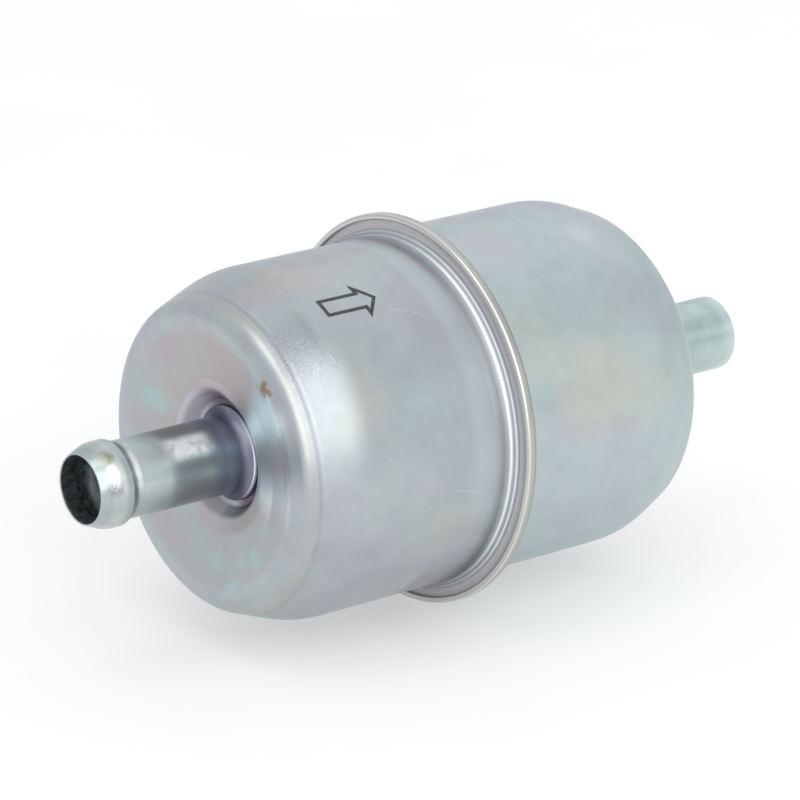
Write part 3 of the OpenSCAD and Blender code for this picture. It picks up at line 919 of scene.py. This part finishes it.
def tin_material():
    """Tin plate with a faint spangle and rolling marks."""
    f = Finish("tin_plate", Metallic=1.0)
    spangle = f.add("TexVoronoi", {"Vector": f.place, "Scale": 0.45}, feature="F1")
    grey = f.sum(f.times(spangle.outputs["Distance"], 0.35), f.times(f.noise(3, 3), 0.65))
    f.colour = f.two_tones(grey, (186, 186, 182), (212, 211, 204))
    marks = f.rings(0.3, 9)
    return f.done(f.vary(marks, 0.22, 0.36), f.bump(marks, 0.002))


def potting_material():
    f = Finish("potting_compound", Subsurface_Weight=0.05, Subsurface_Radius=(0.001, 0.0004, 0.0002))
    f.colour = f.two_tones(f.noise(2.5, 3), (150, 62, 40), (178, 82, 54))
    bubbles = f.noise(0.7, 3)
    return f.done(f.vary(bubbles, 0.32, 0.5), f.bump(bubbles, 0.03))


def paper_material():
    f = Finish("filter_paper", Sheen_Weight=0.15)
    fibres = f.noise(0.22, 5, 0.7, warp=1.2)
    f.colour = f.two_tones(fibres, (226, 204, 150), (246, 232, 190))
    f.paint(0.3, (222, 192, 130), f.ease(f.noise(7, 3), 0.5, 0.75))
    return f.done(f.vary(fibres, 0.75, 0.95), f.bump(fibres, 0.03))


def gasket_material():
    f = Finish("nitrile")
    f.colour = f.two_tones(f.noise(0.8, 4), (24, 24, 26), (40, 40, 43))
    return f.done(f.vary(f.noise(0.5, 3), 0.5, 0.7), f.bump(f.noise(0.15, 3), 0.01))


def floor_material():
    white = (1, 1, 1, 1)
    f = Finish("pale_floor", Emission_Color=white, Emission_Strength=FLOOR_GLOW, Specular_IOR_Level=0.1)
    f.colour = f.two_tones(f.noise(60, 3), (199, 199, 199), (203, 203, 203))
    return f.done(f.vary(f.noise(30, 2), 0.85, 0.95))


# -------- pieces
def finished(piece, body, slot, replaced, *materials):
    for material in materials:
        piece.data.materials.append(material)
    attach(piece, body)
    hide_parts(replaced)


def part_way(value, start):
    """How far the waves have grown at a value past the start, from 0 to 1."""
    return min(1, max(0, (value - start) / WAVE_FADE))


def cup_wobble(seed):
    """Small waves that drawing leaves in a wall. They die out at the seam and towards the tube."""
    def wobble(r, x, angle):
        off_seam = part_way(abs(x - SEAM_X), SEAM_CALM)
        off_tube = part_way(r, HEART_R)
        spot = Vector((x / WAVE_L, math.cos(angle) * WAVE_TURNS, math.sin(angle) * WAVE_TURNS + seed))
        return -WAVE_DEPTH * (0.5 + 0.5 * noise.noise(spot)) * off_seam * off_tube
    return wobble


def inner_skin(cup, heart_x):
    """Gives the second material to the faces that look at the can's heart, but not at the seam."""
    for polygon in cup.data.polygons:
        centre = polygon.center / MM
        r = math.hypot(centre.y, centre.z)
        heart = Vector((heart_x, centre.y * HEART_R / r, centre.z * HEART_R / r))
        if r < INNER_SKIN_R and polygon.normal.dot(heart - centre) > 0:
            polygon.material_index = 1


def make_shells():
    inner = inner_steel_material()
    for side, outline, zinc, flange_x, seed in (
        ("inlet", inlet_outline(), inlet_cup_material(), FLANGE_X, 0),
        ("outlet", outlet_outline(), outlet_cup_material(), OUTLET_FLANGE_X, 7),
    ):
        cup = lathe(f"{side}_cup", outline, wobble=cup_wobble(seed))
        finished(cup, "canister", f"{side}_cup_zinc", f"{side}_shell", zinc, inner)
        inner_skin(cup, flange_x)


def make_tubes():
    """The hose tubes. Their faces that look at the axis are bare, except at the rolled mouth."""
    bore = bore_material()
    for side, outline, mouth_x, zinc in (
        ("inlet", inlet_tube_outline(), INLET_MOUTH_X, inlet_tube_material()),
        ("outlet", outlet_tube_outline(), OUTLET_MOUTH_X, outlet_tube_material()),
    ):
        tube = lathe(f"{side}_hose_tube", outline, around=128, step=0.5)
        finished(tube, "canister", "tube_zinc", f"{side}_tube", zinc, bore)
        for polygon in tube.data.polygons:
            centre = polygon.center / MM
            out = Vector((0, centre.y, centre.z)).normalized()
            if abs(centre.x - mouth_x) > MOUTH_TIP_R * 0.7 and polygon.normal.dot(out) < -0.5:
                polygon.material_index = 1


def make_braze_rings():
    """A hollow fillet round each swaged lip, whose edge ran out unevenly."""
    material = braze_material()
    edge_r = SWAGE_R + HEM_GAP
    leg = BRAZE_R - edge_r
    steps = 8

    def run_out(r, x, angle):
        wave = noise.noise(Vector((math.cos(angle) * 2, math.sin(angle) * 2, x)))
        return -BRAZE_RUN * (r - edge_r) * (1 + wave)

    for side, x, way in (("inlet", INLET_FLOOR_X + SHEET_T, 1), ("outlet", OUTLET_FLOOR_X - SHEET_T, -1)):
        points = [(edge_r, x)]
        for i in range(steps + 1):
            a = 90 * i / steps
            points.append((edge_r + leg * (1 - sin_d(a)), x + way * BRAZE_H * (1 - cos_d(a))))
        ring = lathe(f"{side}_braze", points, around=96, step=0.3, wobble=run_out)
        finished(ring, "canister", "braze_copper", f"{side}_braze_ring", material)


def make_sealant():
    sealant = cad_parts["seam_sealant"]
    sealant.data.materials.clear()
    sealant.data.materials.append(sealant_material())


def arrow_corners(inset):
    """The arrow's corners, as (along, across) points, this far inside its edge."""
    half_head = ARROW_HEAD_W / 2
    head_slope = math.atan2(half_head, ARROW_HEAD_L)
    half_shaft = ARROW_SHAFT_W / 2 - inset
    tip = ARROW_L - inset / math.sin(head_slope)
    back = ARROW_L - ARROW_HEAD_L + inset
    half_back = (tip - back) * math.tan(head_slope)
    corners = (
        (inset, -half_shaft), (back, -half_shaft), (back, -half_back), (tip, 0),
        (back, half_back), (back, half_shaft), (inset, half_shaft),
    )
    return [Vector(p) for p in corners]


def make_arrow():
    """The printed outline of the arrow, laid on the wall, with the slightly uneven edge of a stamp."""
    draw = random.Random(5)
    shapes = (arrow_corners(0), arrow_corners(ARROW_STROKE))
    loops = ([], [])
    for i, corner in enumerate(shapes[0]):
        j = (i + 1) % len(shapes[0])
        parts = max(2, round((shapes[0][j] - corner).length / PRINT_STEP))
        for k in range(parts):
            for loop, shape in zip(loops, shapes):
                shake = [draw.uniform(-PRINT_SHAKE, PRINT_SHAKE) for _ in range(2)]
                loop.append(shape[i].lerp(shape[j], k / parts) + Vector(shake))
    wall_r = INLET_CUP["wall_r"]
    verts = []
    for height in (-PRINT_SINK, PRINT_H):
        for p in loops[0] + loops[1]:
            across = math.asin(p.y / wall_r)
            verts.append(on_axis(wall_r + height, ARROW_TAIL_X + p.x, math.radians(ARROW_ANGLE) - across))
    count = len(loops[0])
    faces = []
    for a, b in ((0, 1), (1, 3), (3, 2), (2, 0)):
        faces += belt(a * count, b * count, count)
    arrow = made("arrow_print", verts, faces, 30)
    finished(arrow, "canister", "black_ink", "flow_arrow", ink_material())


def make_spring():
    start, stop = ends("element_spring")
    length = stop - start
    closed = 2 * WIRE_R + CLOSED_GAP
    active = (length - 2 * WIRE_R - 2 * closed) / ACTIVE_TURNS
    path = []
    for i in range((ACTIVE_TURNS + 2) * TURN_STEPS + 1):
        turn = i / TURN_STEPS
        x = start + WIRE_R + closed * min(turn, 1)
        x += active * max(0, min(turn - 1, ACTIVE_TURNS))
        x += closed * max(0, turn - 1 - ACTIVE_TURNS)
        a = 2 * math.pi * turn
        path.append((x, COIL_R * math.cos(a), COIL_R * math.sin(a)))
    # Evens out the pitch where the closed turns open
    smooth = []
    reach = TURN_STEPS // 6
    for i, (x, y, z) in enumerate(path):
        near = path[max(0, i - reach):i + reach + 1]
        if reach <= i < len(path) - reach:
            x = sum(q[0] for q in near) / len(near)
        smooth.append((x, y, z))
    spring = swept("pressure_spring", smooth, WIRE_R)
    finished(spring, "canister", "spring_steel", "element_spring", spring_material())
    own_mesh(spring)


def make_caps(tin):
    """The closed cap with its raised ring for the spring, and the open cap with its collar."""
    front = INLET_CAP_X
    back = front + CAP_T
    rim_x = front + CAP_RIM_L
    rim_r = CAP_R - CAP_T
    ridge = front - BEAD_RING_H
    in_r = BEAD_RING_R - BEAD_RING_W
    out_r = BEAD_RING_R + BEAD_RING_W
    outline = [
        (0, front), (in_r - CAP_T, front), (in_r, ridge), (out_r - CAP_T, ridge), (out_r, front),
        (rim_r, front), (CAP_R, back), (CAP_R, rim_x), (rim_r, rim_x), (rim_r, back), (out_r - CAP_T, back),
        (out_r - 2 * CAP_T, ridge + CAP_T), (in_r + CAP_T, ridge + CAP_T), (in_r, back), (0, back),
    ]
    cap = lathe("closed_cap", rounded(outline, CAP_BEND), around=144)
    finished(cap, "element", "tinplate", "inlet_end_cap", tin)
    back = OUTLET_CAP_X
    front = back - CAP_T
    rim_x = back - CAP_RIM_L
    collar_x = back + COLLAR_H
    collar_r = COLLAR_R + CAP_T
    outline = [
        (CAP_HOLE_R, front), (rim_r, front), (rim_r, rim_x), (CAP_R, rim_x), (CAP_R, front), (rim_r, back),
        (collar_r, back), (collar_r, collar_x), (COLLAR_R, collar_x), (COLLAR_R, back), (CAP_HOLE_R, back),
    ]
    cap = lathe("open_cap", rounded(outline, CAP_BEND), around=144)
    finished(cap, "element", "tinplate", "outlet_end_cap", tin)


def make_potting():
    """The compound in each cap. Its cured surface sinks a little between its two edges."""
    material = potting_material()
    inner_r = CORE_R + HEM_GAP
    outer_r = CAP_R - CAP_T - HEM_GAP
    steps = 12
    for side, back_x, way in (("inlet", INLET_CAP_X + CAP_T, 1), ("outlet", OUTLET_CAP_X - CAP_T, -1)):
        points = [(inner_r, back_x), (outer_r, back_x)]
        for i in range(steps + 1):
            depth = POTTING_T - POTTING_SINK * math.sin(math.pi * i / steps)
            points.append((outer_r + (inner_r - outer_r) * i / steps, back_x + way * depth))
        ring = lathe(f"{side}_compound", points, around=144, step=1)
        finished(ring, "element", "potting_compound", f"{side}_potting", material)


def pleat_line():
    """The middle of the paper as a wave of round folds, as (across, up) points."""
    steps = 6
    line = []
    for i in range(PLEATS):
        for base, r, fold in ((i, PLEAT_TIP_R, TIP_FOLD_R), (i + 0.5, PLEAT_ROOT_R, -ROOT_FOLD_R)):
            middle = 2 * math.pi * base / PLEATS
            for k in range(steps + 1):
                a = (k / steps - 0.5) * math.pi
                across = abs(fold) * math.sin(a)
                up = r - fold + fold * math.cos(a)
                line.append(Vector((
                    across * math.cos(middle) + up * math.sin(middle),
                    up * math.cos(middle) - across * math.sin(middle),
                )))
    return line


def make_media():
    """The pleated paper. Between tips and roots its walls wander a little."""
    line = pleat_line()
    count = len(line)
    x0, x1 = ends("filter_media")
    stations = 17
    verts = []
    for s in range(stations):
        x = x0 + (x1 - x0) * s / (stations - 1)
        for side in (0.5, -0.5):
            for i, p in enumerate(line):
                along = (line[(i + 1) % count] - line[i - 1]).normalized()
                out = Vector((-along.y, along.x))
                wave = noise.noise(Vector((x / 9, math.atan2(p.y, p.x) * 9, p.length / 6)))
                free = 1 - abs(2 * (p.length - PLEAT_ROOT_R) / (PLEAT_TIP_R - PLEAT_ROOT_R) - 1)
                spot = p + out * (PAPER_T * side + PAPER_DRIFT * wave * max(0, free))
                verts.append((x, spot.x, spot.y))
    faces = []
    last = 2 * (stations - 1) * count
    for start in range(0, last, count):
        faces += belt(start, start + 2 * count, count)
    for start in (0, last):
        faces += belt(start, start + count, count)
    media = made("pleated_paper", verts, faces, 50)
    finished(media, "element", "filter_paper", "filter_media", paper_material())


def make_clip(tin):
    """The strip folded to a U over the pleat at the top, and pinched at every fourth station."""
    lowest = low("media_seam_clip")
    highest = high("media_seam_clip")
    half = (highest.y - lowest.y) / 2
    inner_half = half - CLIP_T
    roof = highest.z - CLIP_T
    outline = [
        (-half, lowest.z), (-half, highest.z), (half, highest.z), (half, lowest.z),
        (inner_half, lowest.z), (inner_half, roof), (-inner_half, roof), (-inner_half, lowest.z),
    ]
    points = rounded(outline, 0.22)
    stations = 25
    verts = []
    for s in range(stations):
        x = lowest.x + (highest.x - lowest.x) * s / (stations - 1)
        pinch = CLIP_PINCH if s % 4 == 2 else 0
        for y, z in points:
            inward = pinch * max(0, 1 - (z - lowest.z) / CLIP_PINCH_H)
            verts.append((x, y - math.copysign(inward, y), z))
    clip = made("seam_clip", verts, bar(stations, len(points)), 40)
    finished(clip, "element", "tinplate", "media_seam_clip", tin)


def make_core(tin):
    """The perforated core, punched with rows of staggered holes."""
    x0, x1 = ends("core_tube")
    outline = [(CORE_R - CORE_T, x0), (CORE_R, x0), (CORE_R, x1), (CORE_R - CORE_T, x1)]
    core = lathe("perforated_core", rounded(outline, 0.08), around=96, step=ROW_PITCH / 4)
    verts = []
    faces = []
    sides = 24
    first_x = (x0 + x1) / 2 - (HOLE_ROWS - 1) * ROW_PITCH / 2
    for row in range(HOLE_ROWS):
        for i in range(HOLES_ROUND):
            turn = 2 * math.pi * (i + 0.5 * (row % 2)) / HOLES_ROUND
            faces += bar(2, sides, len(verts))
            for height in (CORE_R - 2, CORE_R + 1):
                for k in range(sides):
                    a = 2 * math.pi * (k + 0.5) / sides
                    across = CORE_HOLE_R * math.sin(a)
                    x = first_x + row * ROW_PITCH + CORE_HOLE_R * math.cos(a)
                    y = -height * math.sin(turn) + across * math.cos(turn)
                    z = height * math.cos(turn) + across * math.sin(turn)
                    verts.append((x, y, z))
    punches = made("punches", verts, faces)
    cut = core.modifiers.new("holes", "BOOLEAN")
    cut.operation = "DIFFERENCE"
    cut.solver = "EXACT"
    cut.object = punches
    graph = bpy.context.evaluated_depsgraph_get()
    punched = bpy.data.meshes.new_from_object(core.evaluated_get(graph))
    core.modifiers.clear()
    core.data = punched
    shade(punched)
    bpy.data.objects.remove(punches)
    finished(core, "element", "tinplate", "core_tube", tin)


def make_gasket():
    near, far = ends("outlet_gasket")
    outer_r = high("outlet_gasket").z
    outline = [(GASKET_HOLE_R, near), (outer_r, near), (outer_r, far), (GASKET_HOLE_R, far)]
    gasket = lathe("outlet_seal", rounded(outline, 0.3), around=128)
    finished(gasket, "element", "nitrile_rubber", "outlet_gasket", gasket_material())


# -------- studio
def direction(azimuth, elevation):
    """The way out from the object. Azimuth 0 is at -Y and 90 at +X."""
    level = cos_d(elevation)
    return Vector((sin_d(azimuth) * level, -cos_d(azimuth) * level, sin_d(elevation)))


def make_floor():
    """A wide pale floor that the seam's rim stands on."""
    z = -SEAM_R - FLOOR_GAP
    corners = [(x * FLOOR_HALF, y * FLOOR_HALF, z) for x, y in ((-1, -1), (1, -1), (1, 1), (-1, 1))]
    floor = made("floor", corners, [(0, 1, 2, 3)])
    if floor.data.polygons[0].normal.z < 0:
        floor.data.flip_normals()
    floor.data.materials.append(floor_material())


def make_world():
    world = bpy.data.worlds.new("studio")
    bpy.context.scene.world = world
    world.use_nodes = True
    background = world.node_tree.nodes["Background"]
    background.inputs["Color"].default_value = (0.96, 0.98, 1.0, 1)
    background.inputs["Strength"].default_value = WORLD_LIGHT


def softbox(name, azimuth, elevation, distance, width, height, radiance):
    """An area light that faces the object, as bright as the given radiance. Its sizes are in metres."""
    data = bpy.data.lights.new(name, "AREA")
    data.shape = "RECTANGLE"
    data.size = width
    data.size_y = height
    data.energy = radiance * math.pi * width * height
    light = placed(name, data)
    way = direction(azimuth, elevation)
    light.location = way * distance
    light.rotation_euler = way.to_track_quat("Z", "Y").to_euler()


def make_camera():
    data = bpy.data.cameras.new("camera")
    data.lens = LENS
    data.sensor_width = 36
    data.clip_start = 0.01
    camera = placed("camera", data)
    way = direction(VIEW_AZIMUTH, VIEW_ELEVATION)
    turn = way.to_track_quat("Z", "Y") @ Quaternion((0, 0, 1), math.radians(VIEW_ROLL))
    spot = (Vector(VIEW_CENTRE) + way * VIEW_DISTANCE) * MM
    camera.matrix_world = Matrix.Translation(spot) @ turn.to_matrix().to_4x4()
    bpy.context.scene.camera = camera


make_camera()
make_world()
make_floor()
softbox("key", -14, 33, 0.9, 0.69, 0.96, 1.35)
softbox("upper_left", -75, 70, 1.0, 0.5, 0.5, 1.3)
softbox("back_right", 115, 45, 1.2, 1.1, 0.9, 0.22)
softbox("side_strip", 46, 17, 1.2, 0.38, 0.38, 0.35)
bpy.context.scene.view_settings.view_transform = "Standard"

tin_plate = tin_material()
make_shells()
make_tubes()
make_braze_rings()
make_sealant()
make_arrow()
make_spring()
make_caps(tin_plate)
make_potting()
make_media()
make_clip(tin_plate)
make_core(tin_plate)
make_gasket()
